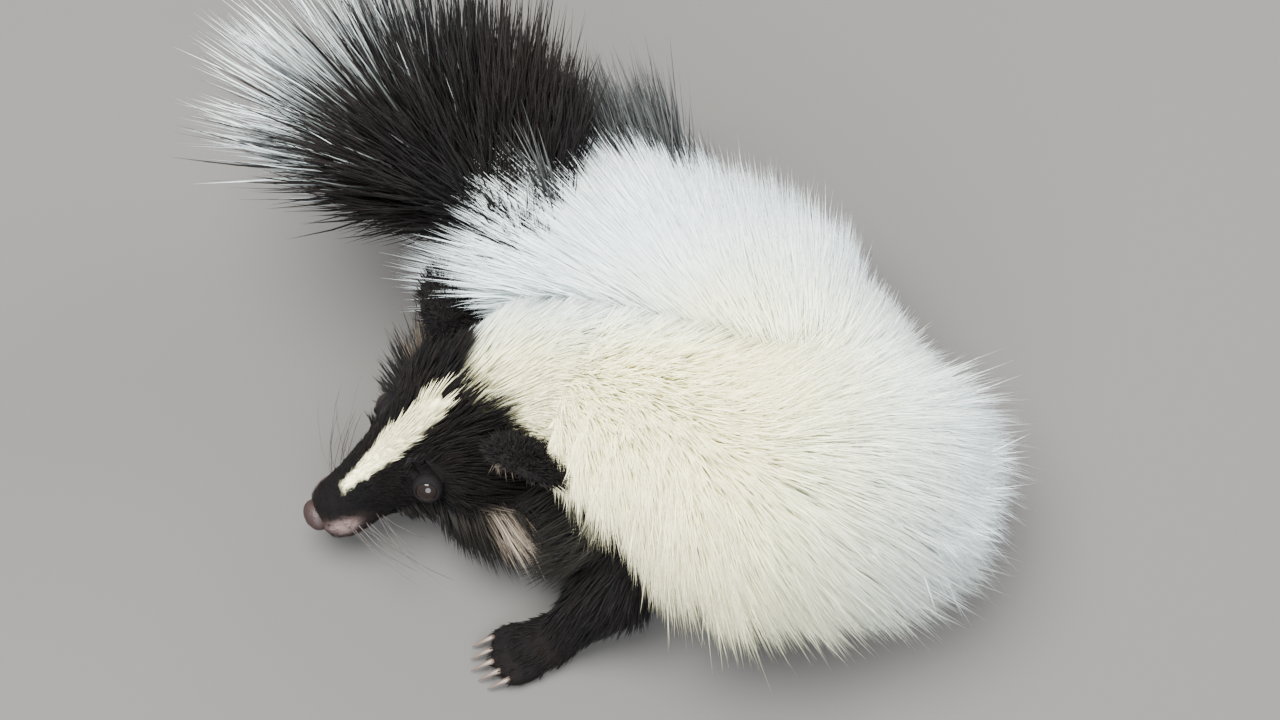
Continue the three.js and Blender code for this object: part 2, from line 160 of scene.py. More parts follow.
# %% The head's frame and the way to metres
def turn(axis, degrees):
    return np.array(Matrix.Rotation(math.radians(degrees), 3, axis))


HEAD = turn("Z", 180 + HEAD_TURN) @ turn("Y", HEAD_NOD) @ turn("X", HEAD_LEAN)


def from_head(p):
    return np.atleast_2d(p) @ HEAD.T + NOSE_TIP


def into_head(p):
    return (p - NOSE_TIP) @ HEAD


eye_low, eye_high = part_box("eye_left")
SHIFT = np.array((eye_low + eye_high) / 2) * 1000 - from_head(EYE_AT)[0]


def metres(p):
    return (np.asarray(p) + SHIFT) / 1000


print("frame shift in mm:", SHIFT.round(2))


# %% Smooth lines through the stations
def curve_points(points, steps):
    pts = np.array(points, float)
    pts = np.vstack([2 * pts[0] - pts[1], pts, 2 * pts[-1] - pts[-2]])
    made = []
    for i in range(1, len(pts) - 2):
        a, b, c, d = pts[i - 1 : i + 3]
        da, db, dc = (np.sqrt(np.linalg.norm(q - p)) for p, q in ((a, b), (b, c), (c, d)))
        t1 = ((b - a) / da - (c - a) / (da + db) + (c - b) / db) * db
        t2 = ((c - b) / db - (d - b) / (db + dc) + (d - c) / dc) * db
        for s in np.arange(steps) / steps:
            made.append(b + t1 * s + (-3 * b + 3 * c - 2 * t1 - t2) * s**2 + (2 * b - 2 * c + t1 + t2) * s**3)
    made.append(pts[-2])
    return np.array(made)


STEPS = 3


def stations(rows):
    fine = np.arange((len(rows) - 1) * STEPS + 1) / STEPS
    sizes = [np.interp(fine, np.arange(len(rows)), [r[k] for r in rows]) for k in range(1, len(rows[0]))]
    return curve_points([r[0] for r in rows], STEPS), sizes


trunk_line, (trunk_flesh, trunk_coat) = stations(TRUNK)
tail_line, (tail_flesh, tail_above, tail_below) = stations(TAIL)
SPLIT = BEND * STEPS
print("points on the trunk's line:", len(trunk_line), "and on the tail's:", len(tail_line))


def along_line(p, line, flesh, low=0, high=None):
    best = np.full(len(p), 1e9)
    point, place = np.zeros_like(p), np.zeros(len(p))
    for i in range(low, (high or len(line) - 1)):
        way = line[i + 1] - line[i]
        t = np.clip((p - line[i]) @ way / (way @ way), 0, 1)
        near = line[i] + t[:, None] * way
        d = np.linalg.norm(p - near, axis=1) - mix(flesh[i], flesh[i + 1], t)
        closer = d < best
        best = np.where(closer, d, best)
        point[closer] = near[closer]
        place[closer] = (i + t)[closer]
    return best, point, place


# %% [markdown]
# ## Flesh
# Under the coat are skull, muzzle, jaw, cheeks and brows, a round trunk, thin legs and a thin tail. Each is
# a few rods or ellipsoids, because the coat hides finer muscle. The near and far sides of the curl are
# blended only a little, so the crease between them stays. A skunk walks on its whole sole, so each paw is a
# palm with five toes.


# %% The parts of the flesh
def on_side(place, side):
    return place[0], side * place[1], place[2]


def head_field(p):
    q = into_head(p)
    parts = [ellipsoid(q, *SKULL), rod(q, *MUZZLE), rod(q, *JAW), rod(q, *BRIDGE)]
    for side in (1, -1):
        parts += [ellipsoid(q, on_side(place, side), radii) for place, radii in (CHEEK, BROW, LIP_PAD)]
    return blended(parts, FACE_SOFT)


def paw_frame(name):
    x, y, heading = LEGS[name][1]
    return turn("Z", heading), row(x, y, 0)


def toes():
    for toe in range(-2, 3):
        yield PAW_LENGTH * (0.33 - 0.035 * abs(toe) ** 1.5), toe * PAW_WIDTH / 5.2


def paw_field(p, name):
    spin, place = paw_frame(name)
    q = (p - place) @ spin
    toe_parts = [ellipsoid(q, (reach, aside, TOE_RISE), TOE_SIZE) for reach, aside in toes()]
    return blended([ellipsoid(q, *PALM)] + toe_parts, TOE_SOFT)


def limb_field(p, name):
    a, b, c = LEGS[name][0]
    leg = blend(rod(p, a, b), rod(p, b, c), KNEE_SOFT)
    return blend(leg, paw_field(p, name), WRIST_SOFT)


def trunk_field(p):
    near = along_line(p, trunk_line, trunk_flesh, 0, SPLIT)[0]
    far = along_line(p, trunk_line, trunk_flesh, SPLIT)[0]
    return blend(near, far, CREASE_SOFT)


def tail_field(p):
    return along_line(p, tail_line, tail_flesh)[0]


def body_field(p):
    made = blend(head_field(p), trunk_field(p), NECK_SOFT)
    made = blend(made, tail_field(p), LIMB_SOFT)
    for name in LEGS:
        made = blend(made, limb_field(p, name), LIMB_SOFT)
    return made


def field_slope(p, field, step=0.15):
    made = np.zeros_like(p)
    for k in range(3):
        d = np.zeros(3)
        d[k] = step
        made[:, k] = field(p + d) - field(p - d)
    return unit(made)


# %% [markdown]
# ## Skin
# The skin is one closed surface from nose to tail. Boolean unions would leave creases and long thin
# triangles where parts meet. So overlapping balls fill the flesh, a voxel remesh wraps them in one even
# net, and the net is then drawn onto the field, which takes the voxels' steps out.


# %% Fill the flesh and wrap it
def ball(bm, centre, radii, spin=np.eye(3)):
    place = Matrix.Translation(Vector(centre)) @ Matrix(spin.tolist()).to_4x4() @ Matrix.Diagonal((*radii, 1))
    bmesh.ops.create_icosphere(bm, subdivisions=3, radius=1, matrix=place)


def balls_along(bm, start, end, count, placed=np.atleast_2d):
    for t in np.linspace(0, 1, count):
        *at, radius = mix(row(*start), row(*end), t)
        ball(bm, placed(at)[0], [radius] * 3)


def fill_flesh():
    bm = bmesh.new()
    for line, flesh in ((trunk_line, trunk_flesh), (tail_line, tail_flesh)):
        for point, radius in zip(line, flesh):
            ball(bm, point, [radius] * 3)
    ball(bm, from_head(SKULL[0])[0], SKULL[1], HEAD)
    for side in (1, -1):
        for at, radii in (CHEEK, LIP_PAD):
            ball(bm, from_head(on_side(at, side))[0], radii, HEAD)
    for start, end in (MUZZLE, JAW):
        balls_along(bm, start, end, 10, from_head)
    for name, (bones, _) in LEGS.items():
        for start, end in zip(bones, bones[1:]):
            balls_along(bm, start, end, 7)
        spin, place = paw_frame(name)
        ball(bm, spin @ row(*PALM[0]) + place, PALM[1], spin)
        for reach, aside in toes():
            ball(bm, spin @ row(reach, aside, TOE_RISE) + place, TOE_SIZE, spin)
    mesh = bpy.data.meshes.new("flesh")
    bm.to_mesh(mesh)
    bm.free()
    return mesh


def wrapped(mesh, voxel):
    source = bpy.data.objects.new("flesh", mesh)
    bpy.context.scene.collection.objects.link(source)
    net = source.modifiers.new("net", "REMESH")
    net.mode, net.voxel_size = "VOXEL", voxel
    made = bpy.data.meshes.new_from_object(source.evaluated_get(bpy.context.evaluated_depsgraph_get()))
    bpy.data.objects.remove(source)
    return made


def points_of(mesh):
    flat = np.empty(len(mesh.vertices) * 3)
    mesh.vertices.foreach_get("co", flat)
    return flat.reshape(-1, 3)


NET, DRAWN_TIMES = 1.15, 4
skin_mesh = wrapped(fill_flesh(), NET)
skin_points = points_of(skin_mesh)
for _ in range(DRAWN_TIMES):
    skin_points -= body_field(skin_points)[:, None] * field_slope(skin_points, body_field)
skin_points[:, 2] = np.maximum(skin_points[:, 2], 0)
skin_out = field_slope(skin_points, body_field)
skin_mesh.vertices.foreach_set("co", metres(skin_points).ravel())
skin_mesh.polygons.foreach_set("use_smooth", [True] * len(skin_mesh.polygons))
skin_mesh.update()
print("skin points:", len(skin_points))

# %% [markdown]
# ## Markings
# A striped skunk's white is one cap on crown and nape that opens into a cape over the back, with a thin
# blaze down the face. Flanks, belly and legs are black, and so is the tail but for its white end. A painted
# picture would have to be unwrapped and would blur. Here a function of place gives the white, and skin and
# coat both ask it, so they always agree. The cape's edge follows how far a point faces up from the trunk's
# axis, which holds from every side.


# %% A ripple that keeps edges and colours uneven
def ripple(p, scale, seed=0.0):
    q = p / scale
    return (
        np.sin(q[:, 0] * 1.7 + q[:, 1] * 1.1 + seed)
        + np.sin(q[:, 1] * 2.3 - q[:, 2] * 1.9 + seed * 2)
        + np.sin(q[:, 2] * 2.9 + q[:, 0] * 2.1 + seed * 3)
    ) / 3


# %% Cape, cap and blaze
CAPE_EDGE, FAR_EDGE, FLANK_RISE = -16, 24, 14
CAP_BORDER, BLAZE_FRONT, BLAZE_BACK, BLAZE_MIDDLE = 51, 11, 45, 1.2
BLAZE_NARROW, BLAZE_WIDE = 1.1, 2.9


def cape_white(p):
    _, point, place = along_line(p, trunk_line, trunk_flesh)
    away = unit(p - point)
    lift = np.degrees(np.arcsin(np.clip(away[:, 2], -1, 1)))
    far_outer = smooth(place, SPLIT + 1, SPLIT + 4) * smooth(away[:, 1], -0.1, 0.35)
    near_flank = smooth(place, 3, 5) * smooth(place, 10.5, 8)
    edge = mix(CAPE_EDGE, FAR_EDGE, far_outer) + FLANK_RISE * near_flank + 6 * ripple(p, 7)
    return smooth(lift, edge - 9, edge + 7)


def face_white(p):
    q = into_head(p)
    behind = -q[:, 0]
    border = CAP_BORDER + 0.42 * np.abs(q[:, 1]) + 0.9 * np.maximum(6 - q[:, 2], 0) + 1.4 * ripple(p, 3)
    cap = smooth(behind, border - 1.2, border + 1.2)
    half = mix(BLAZE_NARROW, BLAZE_WIDE, smooth(behind, 13, 26)) + 0.4 * ripple(p, 2, 1.5)
    blaze = smooth(half - np.abs(q[:, 1] - BLAZE_MIDDLE), -0.4, 0.4)
    blaze = blaze * smooth(behind, BLAZE_FRONT, BLAZE_FRONT + 2) * ((behind < BLAZE_BACK) & (q[:, 2] > 0))
    return np.maximum(cap, blaze)


def whiteness(p):
    on_head = 1 - smooth(-into_head(p)[:, 0], 62, 80)
    made = mix(cape_white(p), face_white(p), on_head)
    tail_d, _, tail_at = along_line(p, tail_line, tail_flesh)
    tip = smooth(tail_at, len(tail_line) - 2.8, len(tail_line) - 1.2)
    on_tail = (tail_d < trunk_field(p)) & (tail_d < 40)
    return np.where(on_tail, tip, made)


white_share = float(whiteness(skin_points).mean())
print("share of the skin that is white:", round(white_share, 2))

# %% Colours of coat and bare skin
CREAM, COOL_WHITE = row(0.98, 0.94, 0.6), row(0.82, 0.92, 0.92)
BLACK, BROWN_BLACK = row(0.003, 0.0026, 0.003), row(0.008, 0.0056, 0.0045)
# The second colour is a painted highlight: the pale pinkish spot where light catches the side of the upper
# lip.
MUZZLE_SKIN, MUZZLE_HIGHLIGHT = row(0.03, 0.02, 0.018), row(0.15, 0.108, 0.1)


def bare_muzzle(p):
    q = into_head(p)
    return smooth(-q[:, 0], 17, 5) * smooth(q[:, 2], 4.5, 1.0)


# Where the painted highlight on the upper lip lies.
def painted_lip_highlight(p):
    q = into_head(p)
    away = np.linalg.norm((q - row(-6.5, 0, 0.8)) / row(5, 1, 2.6) * row(1, 0, 1), axis=1)
    return smooth(away, 1.1, 0.4) * smooth(np.abs(q[:, 1]), 3, 5)


def coat_colour(p, white):
    # The white is cream over the neck and the near side, and bluish white farther back and on the far side.
    warm = smooth(p[:, 1], 46, 24) * smooth(p[:, 0], 66, 12)
    pale = mix(COOL_WHITE, CREAM, warm[:, None])
    dark = mix(BLACK, BROWN_BLACK, (0.35 + 0.35 * ripple(p, 5, 2.0))[:, None])
    return mix(dark, pale, white[:, None])


# %% [markdown]
# ## Materials
# Fur is many thin fibres. Blender's hair shader is made for strands, and these tufts are solid, so a plain
# rough surface with a trace of sheen suits them better, and it takes its colour from the paint laid on each
# tuft. The skin shares that paint, with a finer noise for short underfur. Eye and nose are wet and
# smoother, and claws are horn.


# %% Shader helpers
def material(name, **values):
    made = bpy.data.materials.new(name)
    made.use_nodes = True
    shader = made.node_tree.nodes["Principled BSDF"]
    for socket, value in values.items():
        shader.inputs[socket.replace("_", " ")].default_value = value
    return made, made.node_tree, shader


def paint_node(tree):
    node = tree.nodes.new("ShaderNodeVertexColor")
    node.layer_name = "paint"
    return node.outputs["Color"]


def noise_node(tree, scale):
    node = tree.nodes.new("ShaderNodeTexNoise")
    node.inputs["Scale"].default_value = scale
    node.inputs["Detail"].default_value = 4.0
    place = tree.nodes.new("ShaderNodeTexCoord")
    tree.links.new(place.outputs["Object"], node.inputs["Vector"])
    return node.outputs["Fac"]


def bumped(tree, shader, height, distance, strength):
    bump = tree.nodes.new("ShaderNodeBump")
    bump.inputs["Distance"].default_value = distance
    bump.inputs["Strength"].default_value = strength
    tree.links.new(height, bump.inputs["Height"])
    tree.links.new(bump.outputs["Normal"], shader.inputs["Normal"])


def shaded(tree, colour, factor, low, high):
    spread = tree.nodes.new("ShaderNodeMapRange")
    spread.inputs["To Min"].default_value = low
    spread.inputs["To Max"].default_value = high
    tree.links.new(factor, spread.inputs["Value"])
    scaled = tree.nodes.new("ShaderNodeVectorMath")
    scaled.operation = "SCALE"
    tree.links.new(colour, scaled.inputs[0])
    tree.links.new(spread.outputs["Result"], scaled.inputs["Scale"])
    return scaled.outputs["Vector"]


# %% Finishes that show the paint
def painted(name, mottle, grain, **values):
    made, tree, shader = material(name, **values)
    scale, darkest, lightest = mottle
    colour = shaded(tree, paint_node(tree), noise_node(tree, scale), darkest, lightest)
    tree.links.new(colour, shader.inputs["Base Color"])
    scale, distance, strength = grain
    bumped(tree, shader, noise_node(tree, scale), distance, strength)
    return made


fibre = dict(Roughness=0.6, Sheen_Weight=0.02, Sheen_Roughness=0.5, Specular_IOR_Level=0.07)
fur = painted("fur", (420, 0.86, 1.14), (1500, 0.0002, 0.5), **fibre)
bare = dict(Roughness=0.8, Specular_IOR_Level=0.1)
skin = painted("short_fur_and_skin", (900, 0.75, 1.2), (2200, 0.0004, 0.8), **bare)
moist = dict(Roughness=0.5, Specular_IOR_Level=0.22, Coat_Weight=0.06, Coat_Roughness=0.35)
nose_skin = painted("nose_skin", (800, 0.8, 1.15), (1800, 0.0003, 0.7), **moist)
hard = dict(Roughness=0.38, Coat_Weight=0.2, Coat_Roughness=0.3)
horn = painted("horn", (600, 0.8, 1.2), (1200, 0.0001, 0.4), **hard)

# %% The wet eye
eye_gloss, tree, shader = material("eye", Roughness=0.03, Specular_IOR_Level=0.4, IOR=1.4)
ramp = tree.nodes.new("ShaderNodeValToRGB")
ramp.color_ramp.elements[0].color = (0.003, 0.0024, 0.0022, 1)
ramp.color_ramp.elements[1].color = (0.012, 0.007, 0.005, 1)
tree.links.new(noise_node(tree, 260), ramp.inputs["Fac"])
tree.links.new(ramp.outputs["Color"], shader.inputs["Base Color"])
print("finishes:", [made.name for made in (fur, skin, nose_skin, horn, eye_gloss)])


# %% [markdown]
# ## Pieces from points
# The coat has over a million faces. Adding them one at a time with bmesh would take minutes, so every piece
# is built from arrays of points, faces and colours. One function turns them into an object, paints it,
# hands it to the animal's body and hides the solids it stands for.


# %% Make a piece
def piece(name, points, faces, colours, finish, replaced=(), uv=None):
    mesh = bpy.data.meshes.new(name)
    faces = np.asarray(faces)
    mesh.vertices.add(len(points))
    mesh.vertices.foreach_set("co", metres(points).ravel())
    sides = faces.shape[1]
    mesh.loops.add(faces.size)
    mesh.loops.foreach_set("vertex_index", faces.ravel())
    mesh.polygons.add(len(faces))
    mesh.polygons.foreach_set("loop_start", np.arange(len(faces)) * sides)
    mesh.polygons.foreach_set("use_smooth", np.full(len(faces), True))
    if uv is not None:
        layer = mesh.uv_layers.new(name="OFBake")
        layer.data.foreach_set("uv", uv[faces.ravel()].ravel())
    mesh.update(calc_edges=True)
    mesh.validate()
    paint(mesh, colours)
    dress(bpy.data.objects.new(name, mesh), finish, replaced)
    print(name, "faces:", len(mesh.polygons))


def paint(mesh, colours):
    layer = mesh.color_attributes.new("paint", "FLOAT_COLOR", "POINT")
    rgba = np.ones((len(mesh.vertices), 4))
    rgba[:, :3] = colours
    layer.data.foreach_set("color", rgba.ravel())


def dress(made, finish, replaced=()):
    bpy.context.scene.collection.objects.link(made)
    made.data.materials.append(finish)
    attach(made, "root")
    if replaced:
        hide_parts(*replaced)


# %% The skin, painted and in place
def skin_paint(p):
    white = whiteness(p)
    made = coat_colour(p, white) * mix(0.6, 1.0, white)[:, None]
    sole = smooth(p[:, 2], 3.2, 1.2) * (skin_out[:, 2] < -0.2)
    hairless = np.maximum(bare_muzzle(p), sole) * (white < 0.5)
    made = mix(made, MUZZLE_SKIN, hairless[:, None])
    # Painted highlight on the side of the upper lip.
    return mix(made, MUZZLE_HIGHLIGHT, painted_lip_highlight(p)[:, None])


flesh_nodes = ["head", "jaw", "neck", "torso", "tail"]
flesh_nodes += [name for name in LEGS] + [name.replace("leg", "paw") for name in LEGS]
paint(skin_mesh, skin_paint(skin_points))
dress(bpy.data.objects.new("skin", skin_mesh), skin, flesh_nodes)
print("skin faces:", len(skin_mesh.polygons))

# %% [markdown]
# ## Coat
# A real coat is countless hairs, woolly underfur below and longer guard hair above. Particle hair or curves
# would be lost when the model leaves Blender, so each tuft is a thin three-sided blade that stands for a
# few hairs. It starts under the skin, bends with the lie, and ends in a point. Roots are drawn at random
# over the skin, by area.

# %% Scatter roots over the skin
skin_mesh.calc_loop_triangles()
corners = np.empty(len(skin_mesh.loop_triangles) * 3, int)
skin_mesh.loop_triangles.foreach_get("vertices", corners)
corners = corners.reshape(-1, 3)
A, B, C = (skin_points[corners[:, k]] for k in range(3))
areas = np.linalg.norm(np.cross(B - A, C - A), axis=1) / 2
centres = (A + B + C) / 3


ON_HEAD, ON_TRUNK, ON_TAIL, ON_LEGS = range(4)


def region_of(p):
    limbs = np.min([limb_field(p, name) for name in LEGS], axis=0)
    made = np.argmin([head_field(p), trunk_field(p), tail_field(p), limbs], axis=0)
    tail_ahead = (p - row(-22, 64, 37)) @ unit(row(-0.75, 0.6, 0.28)) > 0
    return np.where((made == ON_TAIL) & ~tail_ahead, ON_TRUNK, made)


region = region_of(centres)
on_trunk = region == ON_TRUNK
place_of = along_line(centres, trunk_line, trunk_flesh)[2]
print("area in mm2 of head, trunk, tail, legs:", [round(float(areas[region == k].sum())) for k in range(4)])


def scatter(chosen, count):
    weight = areas * chosen
    pick = rng.choice(len(areas), count, p=weight / weight.sum())
    s, t = rng.random((2, count))
    flip = s + t > 1
    s[flip], t[flip] = 1 - s[flip], 1 - t[flip]
    return A[pick] + s[:, None] * (B - A)[pick] + t[:, None] * (C - A)[pick]


# %% Build tufts
BLADE = ((1.0, -0.25), (-1.0, -0.25), (0.0, 0.45))
TAPER, LAST_RING = (1.0, 1.0, 0.62), {2: 0.52, 3: 0.74}


def walls(rings, sides):
    faces = []
    for k in range(rings - 1):
        for c in range(sides):
            a, b = k * sides + c, k * sides + (c + 1) % sides
            faces += [(a, b, b + sides), (a, b + sides, a + sides)]
    return faces


def tufts(roots, way, curl, length, width, rings=3):
    side = unit(np.cross(way, unit(way + 0.4 * rng.normal(size=way.shape))))
    flat = np.cross(side, way)
    steps = np.linspace(0, LAST_RING[rings], rings)
    count = len(roots)
    points = np.empty((count, rings * 3 + 1, 3))
    for k, s in enumerate(steps):
        spine = roots + way * (length * s)[:, None] + curl * (length * s * s)[:, None]
        half = width * TAPER[k + 3 - rings] * 0.5
        for c, (x, z) in enumerate(BLADE):
            points[:, k * 3 + c] = spine + side * (half * x)[:, None] + flat * (half * z)[:, None]
    points[:, -1] = roots + way * length[:, None] + curl * length[:, None]
    faces = walls(rings, 3)
    top = (rings - 1) * 3
    faces += [(top + c, top + (c + 1) % 3, rings * 3) for c in range(3)]
    first = np.arange(count) * (rings * 3 + 1)
    faces = np.array(faces) + first[:, None, None]
    return points.reshape(-1, 3), faces.reshape(-1, 3), np.append(steps, 1.0)


# %% Gather tips, unwrap and lay a coat
PATCH, ABOVE_FLOOR, UV_EDGE = 0.003, 0.05, 0.02


def toward_shared_tips(roots, tips, every, pull):
    leaders = rng.choice(len(roots), max(len(roots) // every, 1), replace=False)
    tree_of = kdtree.KDTree(len(leaders))
    for i, k in enumerate(leaders):
        tree_of.insert(roots[k], i)
    tree_of.balance()
    nearest = np.array([tree_of.find(r)[1] for r in roots])
    return tips + (tips[leaders[nearest]] - tips) * pull


def unwrap(roots, line, flesh):
    _, point, place = along_line(roots, line, flesh)
    away = unit(roots - point)
    span = place / (len(line) - 1)
    around = np.arctan2(away[:, 2], away[:, 1]) / (2 * math.pi) + 0.5
    return UV_EDGE + (1 - 2 * UV_EDGE) * np.stack([span, around], axis=1)


def coat_piece(name, roots, way, curl, length, width, colours, uv, rings=3, every=7, pull=0.35):
    tips = toward_shared_tips(roots, roots + (way + curl) * length[:, None], every, pull)
    tips = toward_shared_tips(roots, tips, every * 4, pull * 0.7)
    way = unit(tips - roots - curl * length[:, None])
    points, faces, steps = tufts(roots, way, curl, length, width, rings)
    low, high = colours
    shade = np.concatenate([np.repeat(steps[:-1], 3), steps[-1:]])
    paint_at = low[:, None] + (high - low)[:, None] * shade[None, :, None]
    patch = PATCH * np.array([(0, 0), (1, 0), (0.5, 1)] * rings + [(0.5, 0.5)])
    spread = (uv[:, None] + patch[None]).reshape(-1, 2)
    points[:, 2] = np.maximum(points[:, 2], ABOVE_FLOOR)
    print("tufts:", len(roots))
    piece(name, points, faces, paint_at.reshape(-1, 3), fur, uv=spread)


# %% [markdown]
# ## Body coat
# On the trunk it stands nearly upright, leans a little along the back, and spreads from a whorl on the near
# side. At the bend of the back it opens in a parting with dark roots. Combing it by hand would be slow, so
# the lie is worked out at each root from the trunk's line, the whorl and a slow ripple. The hair is longest
# over the back and shortest on the belly.


# %% Lie and depth on the trunk
PARTING = 13.4
WHORL = row(20, 16)
LAY_PLACES = (3, 7, 10, PARTING - 0.8, PARTING + 0.8, 17, 22)
LAY = (0.75, 0.6, 0.35, -0.25, 0.7, 0.5, 0.45)
FLATTEST, STEEPEST = 0.75, 1.1


def trunk_lie(p):
    _, point, place = along_line(p, trunk_line, trunk_flesh)
    i = np.clip(place.astype(int), 0, len(trunk_line) - 2)
    along = unit(trunk_line[i + 1] - trunk_line[i])
    full = np.interp(place, np.arange(len(trunk_coat)), trunk_coat)
    lift = (p[:, 2] - point[:, 2]) / np.maximum(np.linalg.norm(p - point, axis=1), 1)
    depth = mix(np.minimum(BELLY_COAT, full), full, smooth(lift, -0.75, 0.05))
    return along, depth, place, p[:, 1] - point[:, 1]


def trunk_flow(p, out, along, place):
    spread = np.zeros_like(p)
    spread[:, :2] = p[:, :2] - WHORL
    away = smooth(np.linalg.norm(spread, axis=1), 4, 30) * smooth(place, 4, 8)
    flow = along * np.interp(place, LAY_PLACES, LAY)[:, None] + unit(spread) * (0.6 * away)[:, None]
    flow += 0.22 * np.stack([ripple(p, 11, seed) for seed in (1.0, 2.4, 3.9)], axis=1)
    flow -= out * np.sum(flow * out, axis=1, keepdims=True)
    steep = np.linalg.norm(flow, axis=1, keepdims=True)
    return flow / np.maximum(steep, 1e-6) * np.clip(steep, FLATTEST, STEEPEST)


# %% Underfur
count = 20000
roots = scatter(on_trunk & (place_of > 3), count)
out = field_slope(roots, body_field)
along, depth, place, _ = trunk_lie(roots)
white = whiteness(roots)
way = unit(out * 0.8 + trunk_flow(roots, out, along, place) + 0.25 * rng.normal(size=(count, 3)))
length = depth * rng.uniform(0.5, 0.72, count)
colours = coat_colour(roots, white), coat_colour(roots, white) * rng.uniform(0.95, 1.06, (count, 1))
uv = unwrap(roots, trunk_line, trunk_flesh)
wide = rng.uniform(1.1, 1.9, count)
coat_piece("coat_under", roots - out, way, way * 0, length, wide, colours, uv, 2, 5, 0.1)


# %% Guard hair of the back
GUARD_WIDTH = 0.62
BANDS = [(3.6, 8.5), (8.5, 12.2), (12.2, 16), (16, 22)]


def guard_coat(name, chosen, count):
    roots = scatter(chosen, count)
    out = field_slope(roots, body_field)
    along, depth, place, outward = trunk_lie(roots)
    white = whiteness(roots)
    way = unit(out + trunk_flow(roots, out, along, place) + 0.16 * rng.normal(size=(count, 3)))
    standing = np.maximum(np.sum(way * out, axis=1), 0.68)
    rump = smooth(place, 16.5, 19.5)
    black_rump = (rump * smooth(outward, 0, 8) * (1 - white))[:, None]
    way = unit(way + black_rump * row(-0.45, 0.7, 1.0) + (rump * white)[:, None] * row(-0.5, 0.3, 0.4))
    parted = smooth(np.abs(place - PARTING), 1.7, 0.3) * smooth(out @ row(0.7, 0.6, 0.3), 0.3, 0.8)
    length = depth * rng.uniform(0.78, 1.12, count) / standing
    length *= 1 + 1.2 * black_rump[:, 0] + 0.3 * rump * white - 0.42 * parted
    curl = along * 0.06 + row(0, 0, -0.14) + 0.07 * rng.normal(size=(count, 3))
    low = coat_colour(roots, white * (1 - 0.9 * parted))
    flecked = np.clip(white + 0.3 * rng.normal(size=count) * smooth(white, 1, 0.6), 0, 1)
    high = coat_colour(roots, flecked) * rng.uniform(0.92, 1.06, (count, 1))
    uv = unwrap(roots, trunk_line, trunk_flesh)
    wide = GUARD_WIDTH * rng.uniform(0.6, 1.25, count)
    coat_piece(name, roots - out * 0.6, way, curl, length, wide, (low, high), uv, 2)


for k, (low_place, high_place) in enumerate(BANDS):
    band = on_trunk & (place_of > low_place) & (place_of <= high_place)
    guard_coat(f"coat_back_{k + 1}", band, 19000)

# %% [markdown]
# ## Long hair over the root of the tail
# Where the tail leaves the rump the hair is black and about twice as long as on the back. It could be part
# of the back's pieces, but it stands far more upright, so it has a lie of its own: up, and away from the
# near side.

# %% Long black hair
count = 5500
far_rump = (centres[:, 1] > 62) & (centres[:, 0] < 13)
roots = scatter(on_trunk & (place_of > 15.2) & (whiteness(centres) < 0.5) & far_rump, count)
out = field_slope(roots, body_field)
place = along_line(roots, trunk_line, trunk_flesh)[2]
way = unit(out * 0.6 + row(-0.3, 0.55, 0.85) + 0.15 * rng.normal(size=(count, 3)))
length = mix(17, 38, smooth(place, 15.2, 17.5)) * rng.uniform(0.7, 1.1, count)
curl = row(-0.12, 0.05, -0.05) + 0.08 * rng.normal(size=(count, 3))
colours = coat_colour(roots, np.zeros(count)), coat_colour(roots, 0.1 * rng.random(count))
uv = unwrap(roots, trunk_line, trunk_flesh)
wide = rng.uniform(0.7, 1.2, count)
coat_piece("coat_rump", roots - out * 0.6, way, curl, length, wide, colours, uv, 2)

# %% [markdown]
# ## Head and neck coat
# On the face the fur is short, fine and flat, and it flows back from the nose. It grows longer toward the
# cheeks and the nape, where it runs into the hair of the trunk. None grows on the nose or the eyes. Head
# and neck could have a function each, but one serves both, so no border shows. The pale patch below the ear
# is painted by where a tuft ends, because the hair that makes it grows some way in front.


# %% Lie of the head
def eye_centre(side):
    return from_head((EYE_AT[0], side * EYE_AT[1], EYE_AT[2]))[0]


def bare_face(p):
    q = into_head(p)
    made = q[:, 0] > -1.6
    for side in (1, -1):
        made |= np.linalg.norm(p - eye_centre(side), axis=1) < EYE_RADIUS + 0.2
    return made


TAN, TAN_AT = row(0.62, 0.5, 0.38), row(-28.5, -3, 22)


def below_ear(tips):
    across = into_head(tips)[:, 1]
    mirrored = into_head(TAN_AT[None]) * row(1, 0, 1)
    away = np.linalg.norm((into_head(tips) * row(1, 0, 1) - mirrored) / row(5.2, 1, 7.5), axis=1)
    return smooth(away, 1.15, 0.6) * smooth(np.abs(across), 17, 21) * np.where(across > 0, 1, 0.35)


def ear_distance(p):
    ears = [from_head((EAR_AT[0], side * EAR_AT[1], EAR_AT[2])) for side in (1, -1)]
    return np.min([np.linalg.norm(p - ear, axis=1) for ear in ears], axis=0)


# %% Colour of the head's tufts
# A painted highlight: a lighter grey spot where light falls on the black fur on top of the brow.
BROW_HIGHLIGHT, BROW_HIGHLIGHT_AT = row(0.06, 0.05, 0.052), row(-27.5, 10, 13)


